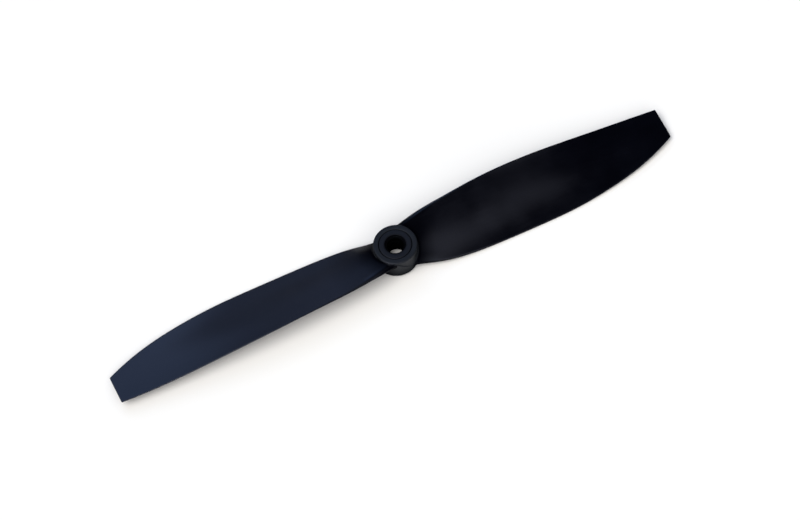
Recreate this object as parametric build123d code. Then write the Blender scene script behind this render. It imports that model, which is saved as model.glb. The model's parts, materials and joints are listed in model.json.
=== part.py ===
from build123d import *
from math import hypot, pi, sin
import os

# Two-blade fixed-pitch propeller, 9 inch class, for a small electric model.
# Millimetres. +Z points up out of the hub's recessed rear face, which holds the adapter ring.
# The origin is on the bore axis at the hub's lower (front) face.
# +X runs along one blade. Each blade is the other turned half a turn about Z.

# Blade tip: a straight cut between its trailing and leading corners. The trailing corner
# lies on the 228.6 mm tip circle. The slopes are how each edge runs inboard from its corner,
# and the outline's reach and width take in all of the blade inboard of the tip.
TIP_TRAILING_CORNER = (113.56, 13.0)
TIP_LEADING_CORNER = (114.15, 0.85)
TIP_TRAILING_SLOPE = -0.055
TIP_LEADING_SLOPE = 0.48
TIP_CORNER_ROUND = 0.5
TIP_OUTLINE_REACH = 30.0
TIP_OUTLINE_WIDTH = 40.0

# Hub: an upper body and, below the mould parting line, a lower body drafted outward.
# The seam turn keeps both bodies' start lines inside the blade roots.
HUB_HEIGHT = 9.7
HUB_SEAM_TURN = 90
UPPER_RADIUS_TOP = 8.2
UPPER_RADIUS_BOTTOM = 8.15
LOWER_RADIUS_TOP = 8.46
LOWER_RADIUS_BOTTOM = 8.2
RIM_ROUND = 0.4

# Parting line across the hub wall between the two blade roots, and through the roots.
PARTING_MID_HEIGHT = 6.3
PARTING_WALL_ANGLE = 42.5
PARTING_ROOT_HEIGHT = 5.7
PARTING_ROOT_ANGLE = 19.1
PARTING_REACH = 60.0

# Bore through the hub and the seat for the adapter ring in the upper face.
HUB_BORE_RADIUS = 3.2
SEAT_RADIUS = 6.14
SEAT_DEPTH = 3.0
SEAT_CHAMFER = 0.28

# Adapter ring: flush with the hub's upper face, stepped bore for the shaft.
RING_RADIUS = 6.09
RING_HEIGHT = 3.0
RING_CHAMFER = 0.28
RING_BORE_RADIUS = 3.2
RING_MOUTH_RADIUS = 3.92
RING_MOUTH_DEPTH = 1.0
RING_MOUTH_CHAMFER = 0.12

# Blade stations. Each row is the distance from the bore axis, then the side offset and
# height of the trailing edge, then the side offset and height of the leading edge.
STATIONS = [
    (0.0, 7.6, 8.0, -7.4, 3.0),
    (8.0, 8.5, 8.7, -8.0, 1.8),
    (13.7, 9.5, 9.1, -9.35, 1.2),
    (22.9, 10.75, 9.3, -10.6, 0.35),
    (36.6, 12.2, 10.0, -11.1, -0.35),
    (52.6, 13.25, 9.6, -11.0, -0.55),
    (68.6, 13.65, 8.05, -10.45, -0.4),
    (84.6, 13.7, 6.0, -8.45, 0.1),
    (99.4, 13.55, 4.45, -5.05, 0.7),
    (108.6, 13.25, 3.9, -1.7, 1.15),
    (115.5, 12.9, 3.6, 1.5, 1.45),
]

# Section at each station: greatest thickness, leading-edge and trailing-edge thickness, how
# far the rear face rises above flat, and how far it waves: up by that much in its trailing
# half and down in its leading half.
SECTIONS = [
    (8.6, 3.6, 3.6, 2.0, 0.0),
    (6.8, 2.2, 2.6, 1.2, 0.0),
    (5.0, 1.3, 1.8, 0.7, 0.05),
    (4.0, 1.0, 1.1, 0.3, 0.15),
    (3.2, 0.9, 0.7, 0.1, 0.2),
    (2.7, 0.9, 0.6, 0.1, 0.16),
    (2.3, 0.85, 0.55, 0.1, 0.12),
    (2.0, 0.8, 0.5, 0.08, 0.08),
    (1.6, 0.7, 0.45, 0.06, 0.05),
    (1.35, 0.65, 0.42, 0.05, 0.03),
    (1.2, 0.6, 0.4, 0.05, 0.02),
]
SIDE_STEPS = [0.0, 0.12, 0.3, 0.5, 0.7, 0.88, 1.0]
FULLEST_SHIFT = 1.35


def drafted_body(radius_bottom, radius_top):
    """Cone frustum the full height of the hub, both rims rounded."""
    body = Solid.make_cone(radius_bottom, radius_top, HUB_HEIGHT)
    body = body.rotate(Axis.Z, HUB_SEAM_TURN)
    rims = body.edges().filter_by(GeomType.CIRCLE)
    return fillet(rims, RIM_ROUND)


def below_plane(height, axis, angle):
    """Everything under a plane that crosses the bore axis at a height, tilted about an axis."""
    slab = Pos(0, 0, -PARTING_REACH / 2) * Box(PARTING_REACH, PARTING_REACH, PARTING_REACH)
    return Pos(0, 0, height) * slab.rotate(axis, angle)


def lower_hub():
    """Hub material under the parting line, which steps down between the blade roots."""
    right = below_plane(PARTING_ROOT_HEIGHT, Axis.X, PARTING_ROOT_ANGLE)
    left = below_plane(PARTING_ROOT_HEIGHT, Axis.X, -PARTING_ROOT_ANGLE)
    wall = below_plane(PARTING_MID_HEIGHT, Axis.Y, PARTING_WALL_ANGLE)
    body = drafted_body(LOWER_RADIUS_BOTTOM, LOWER_RADIUS_TOP)
    front = Pos(0, -PARTING_REACH / 2, 0) * Box(PARTING_REACH, PARTING_REACH, PARTING_REACH)
    half = body & front & (right + (left & wall))
    return half + half.rotate(Axis.Z, 180)


def hub():
    """Upper and lower bodies joined."""
    return drafted_body(UPPER_RADIUS_BOTTOM, UPPER_RADIUS_TOP) + lower_hub()


def section_wire(station, section):
    """Closed outline of the blade at one distance from the axis."""
    x, tail_y, tail_z, nose_y, nose_z = station
    thickest, nose, tail, rise, wave = section
    run = hypot(nose_y - tail_y, nose_z - tail_z)
    along = Vector(0, (nose_y - tail_y) / run, (nose_z - tail_z) / run)
    up = Vector(0, along.Z, -along.Y)
    tail_tip = Vector(x, tail_y, tail_z)
    nose_tip = Vector(x, nose_y, nose_z)
    start = tail_tip + along * (tail / 2)
    length = run - (tail + nose) / 2

    belly = thickest - (tail + nose) / 2 - rise
    rear = []
    front = []
    for share in SIDE_STEPS:
        on_chord = start + along * (length * share)
        edge = (tail + (nose - tail) * share) / 2
        shifted = share ** FULLEST_SHIFT
        fullness = sin(pi * shifted)
        rear.append(on_chord + up * (edge + rise * fullness + wave * sin(2 * pi * shifted)))
        front.append(on_chord - up * (edge + belly * fullness))
    edges = [
        Edge.make_spline(rear),
        Edge.make_three_point_arc(rear[-1], nose_tip, front[-1]),
        Edge.make_spline(list(reversed(front))),
        Edge.make_three_point_arc(front[0], tail_tip, rear[0]),
    ]
    return Wire(edges)


def blade():
    """One blade from the bore axis to just past the tip circle."""
    wires = [section_wire(a, b) for a, b in zip(STATIONS, SECTIONS)]
    return Solid.make_loft(wires)


def tip_outline():
    """Plan area the blade may fill: a straight tip cut with its two corners rounded."""
    tail_x, tail_y = TIP_TRAILING_CORNER
    nose_x, nose_y = TIP_LEADING_CORNER
    reach = TIP_OUTLINE_REACH
    corners = [
        (0, TIP_OUTLINE_WIDTH),
        (tail_x - reach, tail_y - TIP_TRAILING_SLOPE * reach),
        TIP_TRAILING_CORNER,
        TIP_LEADING_CORNER,
        (nose_x - reach, nose_y - TIP_LEADING_SLOPE * reach),
        (0, -TIP_OUTLINE_WIDTH),
    ]
    area = make_face(Polyline(*corners, close=True))
    tips = area.vertices().sort_by(Axis.X)[-2:]
    area = fillet(tips, TIP_CORNER_ROUND)
    return Pos(0, 0, -TIP_OUTLINE_WIDTH) * extrude(area, 2 * TIP_OUTLINE_WIDTH)


def moulding():
    """Hub and both blades as one injection moulding."""
    one = blade() & tip_outline()
    body = hub() + one + one.rotate(Axis.Z, 180)
    bore = Pos(0, 0, HUB_HEIGHT / 2) * Cylinder(HUB_BORE_RADIUS, HUB_HEIGHT * 2)
    seat = Pos(0, 0, HUB_HEIGHT) * Cylinder(SEAT_RADIUS, SEAT_DEPTH * 2)
    mouth = Pos(0, 0, HUB_HEIGHT - SEAT_CHAMFER / 2) * Cone(
        SEAT_RADIUS, SEAT_RADIUS + SEAT_CHAMFER, SEAT_CHAMFER
    )
    return body - bore - seat - mouth


def adapter_ring():
    """Loose ring that centres the shaft, resting on the floor of its seat."""
    base = HUB_HEIGHT - SEAT_DEPTH
    ring = Pos(0, 0, base + RING_HEIGHT / 2) * Cylinder(RING_RADIUS, RING_HEIGHT)
    ring = chamfer(ring.edges().filter_by(GeomType.CIRCLE), RING_CHAMFER)
    bore = Pos(0, 0, base) * Cylinder(RING_BORE_RADIUS, RING_HEIGHT * 3)
    mouth = Pos(0, 0, base + RING_HEIGHT) * Cylinder(RING_MOUTH_RADIUS, RING_MOUTH_DEPTH * 2)
    lip = Pos(0, 0, base + RING_HEIGHT - RING_MOUTH_CHAMFER / 2) * Cone(
        RING_MOUTH_RADIUS, RING_MOUTH_RADIUS + RING_MOUTH_CHAMFER, RING_MOUTH_CHAMFER
    )
    return ring - bore - mouth - lip


os.makedirs("parts", exist_ok=True)
export_step(moulding(), "parts/propeller_moulding.step")
export_step(adapter_ring(), "parts/adapter_ring.step")
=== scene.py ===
"""Looks, light and camera for a two-blade model aircraft propeller and its adapter ring."""

import json
import math

import bmesh
import bpy
import numpy as np
from mathutils import Matrix, Vector


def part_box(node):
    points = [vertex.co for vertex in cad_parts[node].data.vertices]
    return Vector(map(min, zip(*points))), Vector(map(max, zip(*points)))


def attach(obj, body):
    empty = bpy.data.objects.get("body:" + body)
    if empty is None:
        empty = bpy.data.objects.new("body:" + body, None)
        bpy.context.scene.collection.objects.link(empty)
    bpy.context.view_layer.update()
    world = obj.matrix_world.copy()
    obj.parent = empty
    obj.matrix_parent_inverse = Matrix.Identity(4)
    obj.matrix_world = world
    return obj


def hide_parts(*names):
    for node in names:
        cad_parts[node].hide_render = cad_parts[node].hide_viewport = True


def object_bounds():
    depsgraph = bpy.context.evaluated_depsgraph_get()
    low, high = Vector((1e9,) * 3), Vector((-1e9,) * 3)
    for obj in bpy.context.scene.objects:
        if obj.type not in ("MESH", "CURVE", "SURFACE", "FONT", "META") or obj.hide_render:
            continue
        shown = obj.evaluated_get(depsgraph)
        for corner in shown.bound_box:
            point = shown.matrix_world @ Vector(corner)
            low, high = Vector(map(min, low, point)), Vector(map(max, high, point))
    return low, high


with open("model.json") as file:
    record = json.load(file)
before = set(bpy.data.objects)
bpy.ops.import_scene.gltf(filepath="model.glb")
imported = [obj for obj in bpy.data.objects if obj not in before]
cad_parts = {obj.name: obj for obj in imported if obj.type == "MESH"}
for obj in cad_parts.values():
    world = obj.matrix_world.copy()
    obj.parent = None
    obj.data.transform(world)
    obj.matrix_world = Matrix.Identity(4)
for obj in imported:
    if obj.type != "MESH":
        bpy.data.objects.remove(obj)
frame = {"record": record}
CAD_BOX = [[float(value) for value in corner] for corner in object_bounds()]

MM = 0.001
MOUNT_SIZES = {mount["name"]: mount["dims"] for mount in frame["record"]["mounts"]}

# Heights and radii of the hub and ring, in millimetres, read from the frame.
RING_LOW, RING_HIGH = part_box("adapter_ring")
HUB_TOP = RING_HIGH.z / MM
SEAT_FLOOR = RING_LOW.z / MM
RING_RADIUS = RING_HIGH.x / MM
RING_BORE = MOUNT_SIZES["shaft_bore"]["r_mm"]
RING_LEDGE = MOUNT_SIZES["shaft_bore"]["length_mm"]
RING_MOUTH = MOUNT_SIZES["ring_mouth"]["r_mm"]

# The rest of the hub and ring, in millimetres. The wall radii are at the front and rear faces.
# The mould parting line has a height at the hub axis and a lean, on the wall between the two
# blade roots and through the roots.
HUB_BORE = RING_BORE
RING_CLEARANCE = 0.05
SEAT_RADIUS = RING_RADIUS + RING_CLEARANCE
GROOVE_ROUND = 0.28
UPPER_RADIUS = (8.15, 8.2)
LOWER_RADIUS = (8.2, 8.46)
RIM_ROUND = 0.4
PARTING_WALL = (6.3, math.radians(42.5))
PARTING_ROOT = (5.7, math.radians(19.1))

# Blade stations in millimetres: distance from the axis, then side offset and height of the
# trailing edge, side offset and height of the leading edge, greatest thickness, leading-edge
# and trailing-edge thickness, how far the rear face rises above flat, and how far it waves.
STATIONS = np.array([
    (0.0, 7.6, 8.0, -7.4, 3.0, 8.6, 3.6, 3.6, 2.0, 0.0),
    (8.0, 8.5, 8.7, -8.0, 1.8, 6.8, 2.2, 2.6, 1.2, 0.0),
    (13.7, 9.5, 9.1, -9.35, 1.2, 5.0, 1.3, 1.8, 0.7, 0.05),
    (22.9, 10.75, 9.3, -10.6, 0.35, 4.0, 1.0, 1.1, 0.3, 0.15),
    (36.6, 12.2, 10.0, -11.1, -0.35, 3.2, 0.9, 0.7, 0.1, 0.2),
    (52.6, 13.25, 9.6, -11.0, -0.55, 2.7, 0.9, 0.6, 0.1, 0.16),
    (68.6, 13.65, 8.05, -10.45, -0.4, 2.3, 0.85, 0.55, 0.1, 0.12),
    (84.6, 13.7, 6.0, -8.45, 0.1, 2.0, 0.8, 0.5, 0.08, 0.08),
    (99.4, 13.55, 4.45, -5.05, 0.7, 1.6, 0.7, 0.45, 0.06, 0.05),
    (108.6, 13.25, 3.9, -1.7, 1.15, 1.35, 0.65, 0.42, 0.05, 0.03),
    (115.5, 12.9, 3.6, 1.5, 1.45, 1.2, 0.6, 0.4, 0.05, 0.02),
])
FULLEST_SHIFT = 1.35

# The tip's two corners, as distance from the axis and side offset, and the roundings of the
# tip's corners, of its cut edge and of the angle between blade and hub, in millimetres.
TIP_TRAILING = (113.56, 13.0)
TIP_LEADING = (114.15, 0.85)
TIP_CORNER_ROUND = 0.5
TIP_EDGE_ROUND = 0.12
ROOT_BLEND = 1.2

TINY = 1e-12


# --- curves -------------------------------------------------------------------------------

def smooth_law(xs, ys):
    """Natural cubic spline through the points, as a function of an array."""
    count = len(xs)
    gaps = np.diff(xs)
    slopes = np.diff(ys) / gaps
    system = np.eye(count)
    right = np.zeros(count)
    for i in range(1, count - 1):
        system[i, i - 1] = gaps[i - 1]
        system[i, i] = 2 * (gaps[i - 1] + gaps[i])
        system[i, i + 1] = gaps[i]
        right[i] = 6 * (slopes[i] - slopes[i - 1])
    bend = np.linalg.solve(system, right)

    def law(x):
        k = np.clip(np.searchsorted(xs, x) - 1, 0, count - 2)
        gap = gaps[k]
        before = (xs[k + 1] - x) / gap
        after = (x - xs[k]) / gap
        curve = (before ** 3 - before) * bend[k] + (after ** 3 - after) * bend[k + 1]
        return before * ys[k] + after * ys[k + 1] + curve * gap * gap / 6

    return law


LAWS = [smooth_law(STATIONS[:, 0], values) for values in STATIONS.T[1:]]


def ease(t):
    """Smooth step from 0 to 1."""
    t = np.clip(t, 0, 1)
    return t * t * (3 - 2 * t)


def rounded_steps(count):
    """Shares from 0 to 1, closer together at both ends."""
    return (1 - np.cos(np.linspace(0, math.pi, count))) / 2


def unit(vectors):
    """Vectors scaled to length 1."""
    return vectors / np.linalg.norm(vectors, axis=-1, keepdims=True)


# --- mesh helpers -------------------------------------------------------------------------

def grid_faces(rows, columns, wrap_rows, wrap_columns):
    """Quads over a grid of points stored row by row."""
    faces = []
    for i in range(rows if wrap_rows else rows - 1):
        for j in range(columns if wrap_columns else columns - 1):
            k = (i + 1) % rows
            m = (j + 1) % columns
            faces.append((i * columns + j, i * columns + m, k * columns + m, k * columns + j))
    return faces


def mesh_object(name, points, faces):
    """Object from points in millimetres, normals made to face outward, shaded smooth."""
    mesh = bpy.data.meshes.new(name)
    mesh.from_pydata((np.asarray(points) * MM).tolist(), [], faces)
    work = bmesh.new()
    work.from_mesh(mesh)
    bmesh.ops.recalc_face_normals(work, faces=work.faces)
    work.to_mesh(mesh)
    work.free()
    mesh.polygons.foreach_set("use_smooth", [True] * len(mesh.polygons))
    piece = bpy.data.objects.new(name, mesh)
    bpy.context.scene.collection.objects.link(piece)
    return piece


ROUND_STEPS = 256
ROUND_ANGLES = np.linspace(0, 2 * math.pi, ROUND_STEPS, endpoint=False)


def turned_body(name, rows):
    """Closed body of revolution. Each row is a radius and a height, numbers or one per step."""
    points = []
    for radius, height in rows:
        radius = radius + np.zeros(ROUND_STEPS)
        height = height + np.zeros(ROUND_STEPS)
        x = radius * np.cos(ROUND_ANGLES)
        y = radius * np.sin(ROUND_ANGLES)
        points.append(np.stack([x, y, height], 1))
    faces = grid_faces(len(rows), ROUND_STEPS, True, True)
    return mesh_object(name, np.concatenate(points), faces)


def arc_rows(centre_radius, centre_height, size, start, end, count):
    """Rows round a quarter bend, angles in degrees from the outward direction."""
    rows = []
    for angle in np.radians(np.linspace(start, end, count)):
        rows.append((centre_radius + size * np.cos(angle), centre_height + size * np.sin(angle)))
    return rows


# --- hub ----------------------------------------------------------------------------------

# Softening of the hub skin's sharp edges, and the lip and foot of the wall at the parting line,
# as insets from or widths past the wall and drops below or rises above the line.
BORE_SOFTENING = 0.03
SEAT_SOFTENING = 0.15
LIP_START = 0.12
LIP_ROWS = ((0.02, 0.06), (0.07, 0.015), (0.14, 0.0))
FOOT_WIDTH = 0.02
FOOT_RISE = 0.01
FOOT_TOP = 0.05
RIM_STEPS = 7
GROOVE_STEPS = 6
LOWER_WALL_STEPS = 8
UPPER_WALL_STEPS = 6
GROOVE_FLARE = 0.05

# Extra rows that keep the quads even: insets from the rim and the groove on the rear face, the
# depth of one on the seat wall, and shares of the front face's width and the bore's length.
REAR_FACE_ROWS = (0.6, 0.25)
SEAT_WALL_ROW = 1.0
FRONT_FACE_SHARES = (0.1, 0.5)
BORE_SHARES = (0.75, 0.5, 0.25)


def parting_height():
    """Height of the mould parting line round the hub wall, one value per step."""
    x = UPPER_RADIUS[1] * np.cos(ROUND_ANGLES)
    y = UPPER_RADIUS[1] * np.sin(ROUND_ANGLES)
    flip = np.where(y > 0, -1, 1)
    x = x * flip
    y = y * flip
    lean = math.tan(PARTING_ROOT[1])
    right = PARTING_ROOT[0] + lean * y
    left = PARTING_ROOT[0] - lean * y
    wall = PARTING_WALL[0] - math.tan(PARTING_WALL[1]) * x
    return np.maximum(right, np.minimum(left, wall))


def wall_radius(radii, height):
    """Radius of a drafted wall at a height."""
    return radii[0] + (radii[1] - radii[0]) * height / HUB_TOP


def lower_wall(line):
    """Rows across the front face and up the lower wall to the lip at the parting line."""
    face = LOWER_RADIUS[0] - RIM_ROUND
    rows = [(HUB_BORE + BORE_SOFTENING, 0.0)]
    rows += [(HUB_BORE + share * (face - HUB_BORE), 0.0) for share in FRONT_FACE_SHARES]
    rows += arc_rows(face, RIM_ROUND, RIM_ROUND, -90, 0, RIM_STEPS)
    for share in np.linspace(0, 1, LOWER_WALL_STEPS + 1)[1:]:
        height = RIM_ROUND + (line - LIP_START - RIM_ROUND) * share
        rows.append((wall_radius(LOWER_RADIUS, height), height))
    for inset, drop in LIP_ROWS:
        rows.append((wall_radius(LOWER_RADIUS, line) - inset, line - drop))
    return rows


def upper_wall(line):
    """Rows from the foot at the parting line up the upper wall and round the rear rim."""
    foot = wall_radius(UPPER_RADIUS, line)
    rows = [(foot + FOOT_WIDTH, line + FOOT_RISE), (foot, line + FOOT_TOP)]
    for share in np.linspace(0, 1, UPPER_WALL_STEPS + 1)[1:]:
        height = line + FOOT_TOP + (HUB_TOP - RIM_ROUND - line - FOOT_TOP) * share
        rows.append((wall_radius(UPPER_RADIUS, height), height))
    face = UPPER_RADIUS[1] - RIM_ROUND
    return rows + arc_rows(face, HUB_TOP - RIM_ROUND, RIM_ROUND, 0, 90, RIM_STEPS)[1:]


def seat_and_bore():
    """Rows across the rear face, down the ring's seat and down the bore."""
    mouth = SEAT_RADIUS + GROOVE_ROUND
    rows = [
        (UPPER_RADIUS[1] - RIM_ROUND - REAR_FACE_ROWS[0], HUB_TOP),
        (mouth + REAR_FACE_ROWS[1], HUB_TOP),
    ]
    rows += arc_rows(mouth + GROOVE_FLARE, HUB_TOP - GROOVE_ROUND, GROOVE_ROUND, 90, 180, GROOVE_STEPS)
    rows += [
        (SEAT_RADIUS, HUB_TOP - SEAT_WALL_ROW),
        (SEAT_RADIUS, SEAT_FLOOR + SEAT_SOFTENING),
        (SEAT_RADIUS, SEAT_FLOOR),
        (SEAT_RADIUS - SEAT_SOFTENING, SEAT_FLOOR),
        (HUB_BORE + SEAT_SOFTENING, SEAT_FLOOR),
        (HUB_BORE, SEAT_FLOOR - BORE_SOFTENING),
    ]
    rows += [(HUB_BORE, SEAT_FLOOR * share) for share in BORE_SHARES]
    return rows + [(HUB_BORE, BORE_SOFTENING)]


def hub_body():
    """Hub with rounded rims, a stepped parting line, the ring seat and the bore."""
    line = parting_height()
    return turned_body("hub_shell", lower_wall(line) + upper_wall(line) + seat_and_bore())


# --- blade --------------------------------------------------------------------------------

# Grid spacing: along the span in the root, middle and tip zones, and round each section over
# its two faces, its leading edge and its trailing edge.
ROOT_STEPS = 44
SPAN_STEPS = 110
TIP_STEPS = 16
SIDE_STEPS = 34
NOSE_STEPS = 9
TAIL_STEPS = 7
RING_POINTS = 2 * SIDE_STEPS + NOSE_STEPS + TAIL_STEPS
FIRST_FRONT = SIDE_STEPS + NOSE_STEPS
LAST_FRONT = FIRST_FRONT + SIDE_STEPS - 1

# Zones in millimetres: where the root and tip grids end, how far inboard the grid bends to the
# slanted tip cut, and the cylinder inside the hub wall on which the root starts.
ROOT_END = 14.0
TIP_ZONE = 3.0
TIP_PULL = 26.0
ROOT_RADIUS = (SEAT_RADIUS + UPPER_RADIUS[0]) / 2
ROOT_GAP = 0.5
FIT_ROUNDS = 4

# Step of the mould parting line on the blade edges, and where along the blade it fades out.
LEDGE = 0.3
LEDGE_RUN = (16.0, 46.0)
LEDGE_CROWDING = 0.6

# Where along the blade the root is pressed inside the hub's height, how softly, and how much
# of the soft band it may fill.
PRESS_RUN = (12.0, 20.0)
PRESS_SOFTNESS = 0.5
PRESS_FILL = 0.9

# Angles in degrees of the rings that turn the cut tip edge over, and the least share of the
# section's thickness that they leave.
TIP_TURN = (30, 60, 90)
TIP_LEAST_SHARE = 0.1


def round_edge(first, last, first_way, last_way, steps):
    """Points strictly between two ends along a cubic that leaves and arrives along given ways.

    They are closer together halfway, where the mould parting line runs."""
    reach = np.linalg.norm(last - first, axis=-1, keepdims=True) * 2 / 3
    leaving = first + first_way * reach
    arriving = last - last_way * reach
    spread = np.linspace(-1, 1, steps + 2)[1:-1]
    points = []
    for t in (1 + spread * np.abs(spread) ** LEDGE_CROWDING) / 2:
        s = 1 - t
        inner = 3 * s * s * t * leaving + 3 * s * t * t * arriving
        points.append(s ** 3 * first + inner + t ** 3 * last)
    return points


def parting_ledge(points, outward, from_root):
    """Pushes out the front half of an edge, given from rear to front, near the blade root."""
    count = len(points)
    stepped = []
    for k, point in enumerate(points):
        is_below = ease(k - count // 2 + 0.5)
        fading = 2 * (1 - (k + 1) / (count + 1))
        stepped.append(point + outward * (LEDGE * is_below * fading * from_root)[:, None])
    return stepped


def section_frame(x):
    """Chord line start and direction, upward direction, length and sizes at each distance."""
    tail_y, tail_z, nose_y, nose_z, *sizes = [law(x) for law in LAWS]
    nose, tail = sizes[1:3]
    run = np.hypot(nose_y - tail_y, nose_z - tail_z)
    along = np.stack([np.zeros_like(x), (nose_y - tail_y) / run, (nose_z - tail_z) / run], -1)
    up = np.stack([np.zeros_like(x), along[..., 2], -along[..., 1]], -1)
    start = np.stack([x, tail_y, tail_z], -1) + along * (tail / 2)[..., None]
    return start, along, up, run - (tail + nose) / 2, sizes


def face_offset(share, is_rear, thickest, nose, tail, rise, wave):
    """Height of one face above the chord line at a share of the chord from the trailing edge."""
    edge = (tail + (nose - tail) * share) / 2
    shifted = share ** FULLEST_SHIFT
    fullness = math.sin(math.pi * shifted)
    if is_rear:
        return edge + rise * fullness + wave * math.sin(2 * math.pi * shifted)
    return -edge - (thickest - (tail + nose) / 2 - rise) * fullness


def blade_points(x):
    """Grid of ring points. x has one row per span step and one column per ring point."""
    shares = rounded_steps(SIDE_STEPS)

    def face_point(column, share, is_rear):
        start, along, up, length, sizes = section_frame(x[:, column])
        offset = face_offset(share, is_rear, *sizes)
        return start + along * (length * share)[:, None] + up * offset[:, None]

    rear = [face_point(k, share, True) for k, share in enumerate(shares)]
    front = [face_point(FIRST_FRONT + k, share, False) for k, share in enumerate(shares[::-1])]
    rear_start, rear_end = unit(rear[1] - rear[0]), unit(rear[-1] - rear[-2])
    front_start, front_end = unit(front[1] - front[0]), unit(front[-1] - front[-2])
    nose = round_edge(rear[-1], front[0], rear_end, front_start, NOSE_STEPS)
    tail = round_edge(front[-1], rear[0], front_end, rear_start, TAIL_STEPS)
    along = section_frame(x[:, 0])[1]
    from_root = 1 - ease((x[:, 0] - LEDGE_RUN[0]) / (LEDGE_RUN[1] - LEDGE_RUN[0]))
    nose = parting_ledge(nose, along, from_root)
    tail = parting_ledge(tail[::-1], -along, from_root)[::-1]
    return np.stack(rear + nose + front + tail, 1)


def tip_reach(y, y_low, y_high):
    """Distance from the axis at which the tip is cut, its two corners rounded."""
    share = (TIP_TRAILING[1] - y) / (TIP_TRAILING[1] - TIP_LEADING[1])
    cut = TIP_TRAILING[0] + (TIP_LEADING[0] - TIP_TRAILING[0]) * share
    for edge in (np.abs(y_high - y), np.abs(y - y_low)):
        inside = np.clip(TIP_CORNER_ROUND - edge, 0, TIP_CORNER_ROUND)
        cut = cut - TIP_CORNER_ROUND + np.sqrt(TIP_CORNER_ROUND ** 2 - inside ** 2)
    return cut


def span_grid():
    """Blade grid that starts inside the hub wall and ends on the tip cut."""
    end = TIP_LEADING[0]
    root = np.linspace(0.0, ROOT_END, ROOT_STEPS)
    middle = np.linspace(ROOT_END, end - TIP_ZONE, SPAN_STEPS)
    tip = end - TIP_ZONE * (1 - np.sin(np.linspace(0, math.pi / 2, TIP_STEPS)))
    stops = np.concatenate([root, middle[1:], tip[1:]])
    near_hub = np.clip(1 - stops / ROOT_END, 0, 1)[:, None]
    near_tip = ease(1 - (end - stops) / TIP_PULL)[:, None]
    x = np.repeat(stops[:, None], RING_POINTS, 1)
    for _ in range(FIT_ROUNDS):
        points = blade_points(x)
        first, last = points[0, :, 1], points[-1, :, 1]
        start = np.sqrt(np.maximum(ROOT_RADIUS ** 2 - first ** 2, ROOT_GAP ** 2))
        reach = tip_reach(last, last.min(), last.max())
        x = stops[:, None] + start * near_hub + (reach - end) * near_tip
    return blade_points(x)


def surface_normals(points):
    """Outward normals of the blade grid."""
    across = np.roll(points, -1, 1) - np.roll(points, 1, 1)
    spanwise = np.gradient(points, axis=0)
    normal = np.cross(spanwise, across)
    normal /= np.linalg.norm(normal, axis=-1, keepdims=True) + TINY
    middle = points.mean(1, keepdims=True)
    if np.sum(normal * (points - middle)) < 0:
        normal = -normal
    return normal


def blend_root(points):
    """Swells the blade where it meets the hub wall, so the two flow together.

    The lift solves 4 * ROOT_BLEND * lift = (near + turn * lift) ** 2, which is a parabolic
    blend, and it fades out inside the wall."""
    normal = surface_normals(points)
    radius = np.hypot(points[..., 0], points[..., 1])
    outward = points[..., :2] / radius[..., None]
    turn = 1 - np.sum(normal[..., :2] * outward, -1)
    gap = radius - wall_radius(UPPER_RADIUS, points[..., 2])
    near = np.clip(ROOT_BLEND - np.maximum(gap, 0), 0, None)
    drop = 4 * ROOT_BLEND - 2 * turn * near
    inner = np.maximum(drop ** 2 - 4 * turn ** 2 * near ** 2, 0)
    lift = 2 * near ** 2 / (drop + np.sqrt(inner)) * ease(gap + 1)
    return points + normal * lift[..., None]


def keep_in_hub_height(points):
    """Presses the root softly inside the hub's two faces, letting go further out."""
    soft = PRESS_SOFTNESS
    near = 1 - ease((points[..., 0] - PRESS_RUN[0]) / (PRESS_RUN[1] - PRESS_RUN[0]))
    z = points[..., 2]
    over = np.maximum(0, z - (HUB_TOP - soft))
    under = np.maximum(0, soft - z)
    give = PRESS_FILL * soft * (np.exp(-under / soft) - np.exp(-over / soft))
    pressed = z - over + under + give
    points[..., 2] = z + (pressed - z) * near
    return points


def tip_rounding(points):
    """Extra rings that turn the cut edge over, and the last ring for the end cap."""
    last = points[-1]
    partner = (LAST_FRONT - np.arange(RING_POINTS)) % RING_POINTS
    middle = (last + last[partner]) / 2
    away = last - middle
    size = np.maximum(np.linalg.norm(away, axis=1, keepdims=True), TINY)
    rings = []
    for angle in np.radians(TIP_TURN):
        inset = TIP_EDGE_ROUND * (1 - math.cos(angle))
        step = TIP_EDGE_ROUND * (math.sin(angle) - 1)
        ring = middle + away * np.clip(1 - inset / size, TIP_LEAST_SHARE, 1)
        ring[:, 0] = last[:, 0] + step
        rings.append(ring)
    body = points.copy()
    body[-1, :, 0] = last[:, 0] - TIP_EDGE_ROUND
    return np.concatenate([body, np.stack(rings)])


def cap_faces(first, flip):
    """Quads that close a ring by joining its rear points to their front partners."""
    faces = [(j, j + 1, LAST_FRONT - j - 1, LAST_FRONT - j) for j in range(SIDE_STEPS - 1)]
    faces.append(tuple(range(SIDE_STEPS - 1, FIRST_FRONT + 1)))
    faces.append(tuple(range(LAST_FRONT, RING_POINTS)) + (0,))
    if flip:
        faces = [face[::-1] for face in faces]
    return [tuple(first + k for k in face) for face in faces]


def blade_body(name, turn):
    """One blade as a closed quad mesh, turned about the hub axis."""
    points = tip_rounding(keep_in_hub_height(blend_root(span_grid())))
    rows = len(points)
    faces = grid_faces(rows, RING_POINTS, False, True)
    faces += cap_faces(0, False) + cap_faces((rows - 1) * RING_POINTS, True)
    flat = points.reshape(-1, 3) @ np.array(Matrix.Rotation(turn, 3, "Z")).T
    return mesh_object(name, flat, faces)


def combine(base, others, operation):
    """Exact boolean of a closed piece with others, applied to the base."""
    for other in others:
        step = base.modifiers.new("combine", "BOOLEAN")
        step.operation = operation
        step.solver = "EXACT"
        step.object = other
    bpy.context.view_layer.update()
    result = base.evaluated_get(bpy.context.evaluated_depsgraph_get())
    mesh = bpy.data.meshes.new_from_object(result)
    base.modifiers.clear()
    base.data = mesh


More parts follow.
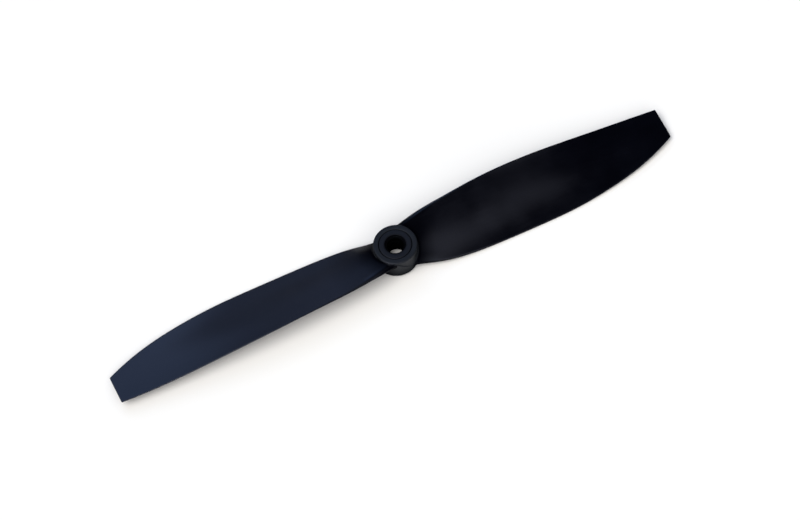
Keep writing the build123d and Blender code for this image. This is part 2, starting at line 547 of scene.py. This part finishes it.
def propeller_body():
    """The whole moulding as one skin."""
    body = hub_body()
    blades = [blade_body("blade_shell_a", 0.0), blade_body("blade_shell_b", math.pi)]
    combine(body, blades, "UNION")
    for blade in blades:
        bpy.data.objects.remove(blade)
    body.name = "propeller_moulding_body"
    body.data.name = body.name
    body.data.polygons.foreach_set("use_smooth", [True] * len(body.data.polygons))
    return body


# --- ring ---------------------------------------------------------------------------------

# Softening of the ring's sharp edges, its steps, and the radii of the rows on its flat faces.
RING_SOFTENING = 0.06
MOUTH_STEPS = 4
LEDGE_STEPS = 3
RING_FACE_ROWS = (5.2, 4.5)


def ring_body():
    """Adapter ring with rounded outer edges and a stepped bore."""
    step = RING_LEDGE
    soft = RING_SOFTENING
    outer, inner = RING_FACE_ROWS
    shoulder = RING_RADIUS - GROOVE_ROUND
    rows = arc_rows(shoulder, SEAT_FLOOR + GROOVE_ROUND, GROOVE_ROUND, -90, 0, GROOVE_STEPS)
    rows += arc_rows(shoulder, HUB_TOP - GROOVE_ROUND, GROOVE_ROUND, 0, 90, GROOVE_STEPS)
    rows += [(outer, HUB_TOP), (inner, HUB_TOP)]
    rows += arc_rows(RING_MOUTH + 2 * soft, HUB_TOP - 2 * soft, 2 * soft, 90, 180, MOUTH_STEPS)
    rows += [(RING_MOUTH, step + soft), (RING_MOUTH - soft, step), (RING_BORE + 3 * soft, step)]
    rows += arc_rows(RING_BORE + soft, step - soft, soft, 90, 180, LEDGE_STEPS)
    rows += [(RING_BORE, (step + SEAT_FLOOR) / 2), (RING_BORE, SEAT_FLOOR + soft)]
    rows += [(RING_BORE + soft, SEAT_FLOOR), (inner, SEAT_FLOOR)]
    return turned_body("adapter_ring_body", rows)


# --- materials ----------------------------------------------------------------------------

class Nodes:
    """Small helper for building a node tree."""

    def __init__(self, tree):
        self.tree = tree
        tree.nodes.clear()

    def add(self, kind, inputs=None, **settings):
        """New node. Inputs are values or other nodes' outputs, by name or number."""
        node = self.tree.nodes.new(kind)
        for key, value in settings.items():
            setattr(node, key, value)
        for key, value in (inputs or {}).items():
            if isinstance(value, bpy.types.NodeSocket):
                self.tree.links.new(value, node.inputs[key])
            else:
                node.inputs[key].default_value = value
        return node

    def maths(self, operation, a, b):
        return self.add("ShaderNodeMath", {0: a, 1: b}, operation=operation).outputs[0]

    def vector_maths(self, operation, a, b, output):
        node = self.add("ShaderNodeVectorMath", {0: a, 1: b}, operation=operation)
        return node.outputs[output]

    def remap(self, value, source, target):
        """A value clamped to the source pair and carried over to the target pair."""
        limits = {"From Min": source[0], "From Max": source[1], "To Min": target[0], "To Max": target[1]}
        return self.add("ShaderNodeMapRange", {"Value": value} | limits).outputs[0]

    def mix(self, share, a, b):
        node = self.add("ShaderNodeMix", {"Factor": share, "A": a, "B": b}, data_type="RGBA")
        return node.outputs["Result"]

    def mix_shaders(self, share, a, b):
        return self.add("ShaderNodeMixShader", {0: share, 1: a, 2: b}).outputs[0]

    def noise(self, where, scale, detail, rough=0.5):
        names = {"Vector": where, "Scale": scale, "Detail": detail, "Roughness": rough}
        return self.add("ShaderNodeTexNoise", names).outputs["Fac"]

    def openness(self, distance, samples):
        """How open a point is to its surroundings within a distance in millimetres."""
        node = self.add("ShaderNodeAmbientOcclusion", {"Distance": distance * MM}, samples=samples)
        return node.outputs["AO"]


WHOLE = (0.0, 1.0)
BORE_SHADE_BLACK = (0.0, 0.0, 0.0, 1.0)
WORN_GREY = (0.02, 0.021, 0.025, 1)
COOL_SHEEN = (0.75, 0.8, 1.0, 1)

# Distances from the hub axis, in millimetres, over which the finish goes from that of the hub
# to that of the blade (on the blade with painted shade at the hub end), over which the painted
# shade in the corner beside the hub fades out, and over which the painted shade inside the bore
# fades out, with the share of colour and gloss left inside the bore.
ROOT_FINISH_AND_SHADE = (9.0, 28.0)
CORNER_SHADE_RUN = (9.0, 15.0)
BORE_SHADE_RUN = (3.6, 4.6)
BORE_SHADE_SHARE = 0.2

# Marks in the plastic: noise scales per metre, and the noise values between which they change.
CLOUD_SCALE = 90.0
CLOUD_DETAIL = 3.0
FINE_DETAIL = 2.0
CLOUD_RANGE = (0.3, 0.7)
CLOUD_BRIGHTER = 1.5
CLOUD_ROUGHER = 0.03
FLOW_SCALE = 900.0
FLOW_STRETCH = (0.12, 1.0, 1.0)
GRAIN_ROUGHNESS = 0.6
GRAIN_STRENGTH = 0.35
GRAIN_DEPTH = 0.04

# Worn edges: how wide, how sharp an edge has to be, where the wear is patchy, and its gloss.
EDGE_WIDTH = 0.35
EDGE_SAMPLES = 6
EDGE_SHARPNESS = (0.995, 0.8)
EDGE_GLOSS = 0.7
WEAR_CLOUDS = (0.4, 0.62)
WEAR_LEAST = 0.15

# Painted shade in recesses: how sheltered a point has to be before its gloss is taken away and it
# darkens.
RECESS_SHADE_REACH = 9.0
RECESS_SHADE_SAMPLES = 8
RECESS_SHADE_RANGE = (0.56, 0.97)

# Finish of each plastic. Gloss and roughness are pairs, at the hub and out on the blade; the
# blade's lower gloss at the hub end is painted shade. The corner gloss is the share of gloss left
# in the painted shade beside the hub.
BLADE_LOOK = {
    "colour": (0.0005, 0.0006, 0.0014, 1),
    "corner_gloss": 0.2,
    "gloss": (0.45, 1.0),
    "rough": (0.22, 0.14),
    "grain": 0.12,
    "grain_scale": 2600.0,
    "streak": 0.05,
}
HUB_LOOK = {
    "colour": (0.0038, 0.0048, 0.0058, 1),
    "corner_gloss": 1.0,
    "gloss": (0.56, 0.56),
    "rough": (0.48, 0.48),
    "grain": 0.6,
    "grain_scale": 3800.0,
    "streak": 0.05,
}
RING_LOOK = {
    "colour": (0.0022, 0.0028, 0.004, 1),
    "corner_gloss": 1.0,
    "gloss": (0.5, 0.5),
    "rough": (0.46, 0.46),
    "grain": 0.5,
    "grain_scale": 4200.0,
    "streak": 0.03,
}


def axis_distance(n, place):
    """Distance from the hub axis, in metres."""
    flat = n.vector_maths("MULTIPLY", place, (1.0, 1.0, 0.0), 0)
    return n.add("ShaderNodeVectorMath", {0: flat}, operation="LENGTH").outputs["Value"]


def along_blade(n, reach, run, target):
    """Value that changes over a run of distances from the axis, given in millimetres."""
    return n.remap(reach, [distance * MM for distance in run], target)


def sharp_edges(n):
    """1 on sharp edges and 0 on smooth faces."""
    softened = n.add("ShaderNodeBevel", {"Radius": EDGE_WIDTH * MM}, samples=EDGE_SAMPLES).outputs[0]
    facing = n.add("ShaderNodeNewGeometry").outputs["Normal"]
    likeness = n.vector_maths("DOT_PRODUCT", softened, facing, "Value")
    return n.remap(likeness, EDGE_SHARPNESS, WHOLE)


def moulded_plastic(name, colour, corner_gloss, gloss, rough, grain, grain_scale, streak):
    """Black moulded nylon: fine grain, faint flow streaks, cloudy sheen and worn edges, with painted
    shade in recesses, beside the hub and inside the bore.
    """
    material = bpy.data.materials.new(name)
    material.use_nodes = True
    n = Nodes(material.node_tree)
    place = n.add("ShaderNodeTexCoord").outputs["Object"]
    stretched = n.add("ShaderNodeMapping", {"Vector": place, "Scale": FLOW_STRETCH}).outputs[0]
    cloud = n.noise(place, CLOUD_SCALE, CLOUD_DETAIL)
    flow = n.maths("MULTIPLY", n.noise(stretched, FLOW_SCALE, FINE_DETAIL), streak)
    fine = n.maths("MULTIPLY", n.noise(place, grain_scale, FINE_DETAIL, GRAIN_ROUGHNESS), grain)
    reach = axis_distance(n, place)
    outboard = along_blade(n, reach, ROOT_FINISH_AND_SHADE, WHOLE)
    # Painted shade inside the bore: colour and gloss fade out towards the bore.
    out_of_bore_shade = along_blade(n, reach, BORE_SHADE_RUN, (BORE_SHADE_SHARE, 1.0))
    edge = sharp_edges(n)

    brighter = tuple(c * CLOUD_BRIGHTER for c in colour[:3]) + (1,)
    cloudy = n.mix(n.remap(cloud, CLOUD_RANGE, WHOLE), colour, brighter)
    wear = n.maths("MULTIPLY", edge, n.remap(cloud, WEAR_CLOUDS, (WEAR_LEAST, 1.0)))
    # Painted shade: the colour goes towards black inside the bore.
    tone = n.mix(out_of_bore_shade, BORE_SHADE_BLACK, n.mix(wear, cloudy, WORN_GREY))

    uneven = n.maths("ADD", n.remap(cloud, CLOUD_RANGE, (-CLOUD_ROUGHER, CLOUD_ROUGHER)), flow)
    roughness = n.maths("ADD", n.remap(outboard, WHOLE, rough), uneven)
    relief = {"Height": n.maths("ADD", fine, flow)}
    relief |= {"Strength": GRAIN_STRENGTH, "Distance": GRAIN_DEPTH * MM}
    bump = n.add("ShaderNodeBump", relief).outputs[0]

    # Painted shade in recesses: gloss goes where the surroundings are close, darkening them.
    out_of_recess_shade = n.remap(n.openness(RECESS_SHADE_REACH, RECESS_SHADE_SAMPLES), RECESS_SHADE_RANGE, WHOLE)
    # Painted shade beside the hub: the blade's gloss is lowered near its root.
    corner = along_blade(n, reach, CORNER_SHADE_RUN, (corner_gloss, 1.0))
    gloss_and_root_shade = n.maths("MULTIPLY", corner, n.remap(outboard, WHOLE, gloss))
    gloss_after_shade = n.maths("MULTIPLY", out_of_recess_shade, gloss_and_root_shade)
    edge_gloss = n.maths("MULTIPLY", edge, EDGE_GLOSS)
    share = n.maths("MULTIPLY", n.maths("MAXIMUM", gloss_after_shade, edge_gloss), out_of_bore_shade)

    sheen = {"Base Color": tone, "Roughness": roughness, "Normal": bump, "Specular Tint": COOL_SHEEN}
    glossy = n.add("ShaderNodeBsdfPrincipled", sheen).outputs[0]
    dull = n.add("ShaderNodeBsdfDiffuse", {"Color": tone, "Normal": bump}).outputs[0]
    shader = n.mix_shaders(share, dull, glossy)
    n.add("ShaderNodeOutputMaterial", {"Surface": shader})
    return material


# How far outside the hub's largest radius a face may reach and still be part of the hub.
HUB_SKIN_MARGIN = 0.02


def assign_by_place(body, blade_material, hub_material):
    """Gloss finish on the blades and the textured finish on the hub."""
    body.data.materials.clear()
    body.data.materials.append(blade_material)
    body.data.materials.append(hub_material)
    reach = (LOWER_RADIUS[1] + HUB_SKIN_MARGIN) * MM
    for face in body.data.polygons:
        on_hub = all(math.hypot(*body.data.vertices[v].co.xy) < reach for v in face.vertices)
        face.material_index = 1 if on_hub else 0


# --- stage, light, camera -----------------------------------------------------------------

# The camera's place round the hub, its roll, distance in metres, focal length and lens shift.
VIEW_AZIMUTH = math.radians(-18.33)
VIEW_ELEVATION = math.radians(61.36)
VIEW_ROLL = math.radians(6.63)
VIEW_DISTANCE = 0.7824
VIEW_LENS = 96.18
VIEW_SHIFT = (0.006, -0.0198)
NEAR_CLIP = 0.01


def direction(azimuth, elevation):
    """Unit vector towards an azimuth and elevation, azimuth 0 being the -Y side."""
    flat = math.cos(elevation)
    return Vector((math.sin(azimuth) * flat, -math.cos(azimuth) * flat, math.sin(elevation)))


def make_camera():
    """Camera at the photographed viewing angle, rolled a little as the photo is."""
    data = bpy.data.cameras.new("camera")
    data.lens = VIEW_LENS
    data.shift_x, data.shift_y = VIEW_SHIFT
    data.clip_start = NEAR_CLIP
    camera = bpy.data.objects.new("camera", data)
    back = direction(VIEW_AZIMUTH, VIEW_ELEVATION)
    level = Vector((math.cos(VIEW_AZIMUTH), math.sin(VIEW_AZIMUTH), 0))
    up = back.cross(level)
    turned_up = level * math.sin(VIEW_ROLL) + up * math.cos(VIEW_ROLL)
    turned_right = level * math.cos(VIEW_ROLL) - up * math.sin(VIEW_ROLL)
    axes = Matrix((turned_right, turned_up, back)).transposed().to_4x4()
    target = Vector((0, 0, HUB_TOP * MM))
    camera.matrix_world = Matrix.Translation(target + back * VIEW_DISTANCE) @ axes
    bpy.context.scene.collection.objects.link(camera)
    bpy.context.scene.camera = camera


# Soft light lobes: azimuth from the camera, elevation, core and fade half-angles, colour.
LOBES = {
    "main": (312, 63, 8, 30, (6.0, 5.9, 5.75)),
    "front fill": (4, 38, 12, 36, (1.7, 1.68, 1.66)),
    "back high": (200, 52, 4, 30, (0.5, 0.68, 1.02)),
    "back low": (184, 26, 6, 30, (0.3, 0.37, 0.54)),
    "right high": (70, 48, 4, 20, (1.05, 1.03, 1.05)),
}
AMBIENT = (0.012, 0.012, 0.025)
BACKDROP = (0.97, 0.97, 0.97, 1)


def lobe_light(n, way, azimuth, elevation, core, fade, colour):
    """Light from one lobe in a direction: full inside the core, none beyond the fade."""
    towards = direction(VIEW_AZIMUTH + math.radians(azimuth), math.radians(elevation))
    match = n.vector_maths("DOT_PRODUCT", way, tuple(towards), "Value")
    limits = {"From Min": math.cos(math.radians(fade)), "From Max": math.cos(math.radians(core))}
    fall = n.add("ShaderNodeMapRange", {"Value": match} | limits, interpolation_type="SMOOTHSTEP")
    lit = n.add("ShaderNodeVectorMath", {0: colour, 3: fall.outputs[0]}, operation="SCALE")
    return lit.outputs[0]


def make_world():
    """Studio surroundings: soft lobes of light, and a plain pale backdrop for the camera."""
    world = bpy.data.worlds.new("studio")
    bpy.context.scene.world = world
    world.use_nodes = True
    n = Nodes(world.node_tree)
    way = n.add("ShaderNodeTexCoord").outputs["Generated"]
    total = n.add("ShaderNodeRGB").outputs[0]
    total.default_value = AMBIENT + (1,)
    for lobe in LOBES.values():
        total = n.vector_maths("ADD", total, lobe_light(n, way, *lobe), 0)
    surroundings = n.add("ShaderNodeBackground", {"Color": total}).outputs[0]
    seen = n.add("ShaderNodeBackground", {"Color": BACKDROP}).outputs[0]
    is_camera = n.add("ShaderNodeLightPath").outputs["Is Camera Ray"]
    shown = n.mix_shaders(is_camera, surroundings, seen)
    n.add("ShaderNodeOutputWorld", {"Surface": shown})


# The floor's half width, its tone in the open and its painted shade tone beside the propeller,
# and how far and how strongly the painted shade spreads from the propeller.
FLOOR_HALF_WIDTH = 3000.0
FLOOR_TONE = (0.96, 0.955, 0.93, 1)
PAINTED_SHADE_TONE = (0.84, 0.83, 0.81, 1)
PAINTED_SHADE_REACH = 16.0
PAINTED_SHADE_SAMPLES = 16
PAINTED_SHADE_RANGE = (0.5, 1.0)


def make_floor():
    """Plain pale floor under the lowest point of the propeller, with painted shade beside it."""
    half = FLOOR_HALF_WIDTH
    low = CAD_BOX[0][2] / MM
    corners = [(-half, -half, low), (half, -half, low), (half, half, low), (-half, half, low)]
    floor = mesh_object("floor", corners, [(0, 1, 2, 3)])
    material = bpy.data.materials.new("pale_floor")
    material.use_nodes = True
    n = Nodes(material.node_tree)
    # Painted shade: the floor darkens where the propeller is close.
    unshaded_floor = n.openness(PAINTED_SHADE_REACH, PAINTED_SHADE_SAMPLES)
    tone = n.mix(n.remap(unshaded_floor, PAINTED_SHADE_RANGE, WHOLE), PAINTED_SHADE_TONE, FLOOR_TONE)
    shader = n.add("ShaderNodeBsdfDiffuse", {"Color": tone}).outputs[0]
    n.add("ShaderNodeOutputMaterial", {"Surface": shader})
    floor.data.materials.append(material)


# --- assembly -----------------------------------------------------------------------------

bpy.context.scene.view_settings.view_transform = "Standard"

blade_finish = moulded_plastic("blade_plastic", **BLADE_LOOK)
hub_finish = moulded_plastic("hub_plastic", **HUB_LOOK)
ring_finish = moulded_plastic("ring_plastic", **RING_LOOK)

moulding = propeller_body()
assign_by_place(moulding, blade_finish, hub_finish)
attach(moulding, "propeller")
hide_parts("propeller_moulding")

ring = ring_body()
ring.data.materials.append(ring_finish)
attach(ring, "ring")
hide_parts("adapter_ring")

make_floor()
make_world()
make_camera()

bpy.context.view_layer.update()
